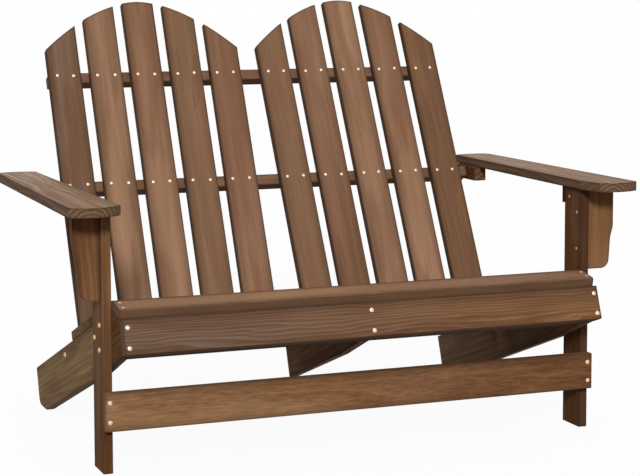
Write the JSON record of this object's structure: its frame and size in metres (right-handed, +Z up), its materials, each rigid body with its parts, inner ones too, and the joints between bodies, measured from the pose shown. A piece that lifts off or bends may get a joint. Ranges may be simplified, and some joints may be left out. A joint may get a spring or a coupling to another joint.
{
  "type": "adirondack loveseat",
  "caption": "Two-seat slatted garden seat in brown-stained wood, with a sloping seat, two arched fans of back slats and wide flat arms.",
  "frame": {"origin": "on the ground, under the middle of the whole seat", "axes": "+X along the seat to the right as seen from the front, +Y to the back, +Z up"},
  "size_m": [1.2606, 0.8584, 0.9335],
  "materials": {
    "back_slat": "brown stain over softwood, satin, grain showing along the boards",
    "seat_slat": "brown stain over softwood, worn a little on the edges",
    "rail": "brown stain over softwood, darker in the shade",
    "arm": "brown stain over softwood, greyer and more worn on top",
    "leg": "red-brown stain over softwood",
    "stringer": "olive-brown stain over softwood",
    "apron": "brown stain over softwood, fine streaks along the board",
    "stretcher": "red-brown stain over softwood, flame grain",
    "bracket": "brown stain over softwood",
    "block": "brown stain over softwood",
    "bolt": "zinc-plated steel, slightly yellowed"
  },
  "bodies": {
    "root": {"apron": "apron", "arm_back_rail": "rail", "arm_block_left": "block", "arm_block_right": "block", "arm_bracket_left": "bracket", "arm_bracket_right": "bracket", "arm_cleat_left": "block", "arm_cleat_right": "block", "arm_left": "arm", "arm_right": "arm", "back_slat_left_1": "back_slat", "back_slat_left_2": "back_slat", "back_slat_left_3": "back_slat", "back_slat_left_4": "back_slat", "back_slat_left_5": "back_slat", "back_slat_right_1": "back_slat", "back_slat_right_2": "back_slat", "back_slat_right_3": "back_slat", "back_slat_right_4": "back_slat", "back_slat_right_5": "back_slat", "front_seat_slat": "seat_slat", "leg_bolt_left_1": "bolt", "leg_bolt_left_2": "bolt", "leg_bolt_left_3": "bolt", "leg_bolt_right_1": "bolt", "leg_bolt_right_2": "bolt", "leg_bolt_right_3": "bolt", "leg_left": "leg", "leg_nut_left_1": "bolt", "leg_nut_left_2": "bolt", "leg_nut_left_3": "bolt", "leg_nut_right_1": "bolt", "leg_nut_right_2": "bolt", "leg_nut_right_3": "bolt", "leg_right": "leg", "lower_back_rail": "rail", "rail_bolt_left": "bolt", "rail_bolt_right": "bolt", "seat_slat_1": "seat_slat", "seat_slat_2": "seat_slat", "seat_slat_3": "seat_slat", "seat_slat_4": "seat_slat", "stretcher": "stretcher", "stringer_centre": "stringer", "stringer_left": "stringer", "stringer_right": "stringer", "upper_back_rail": "rail"}
  },
  "joints": []
}
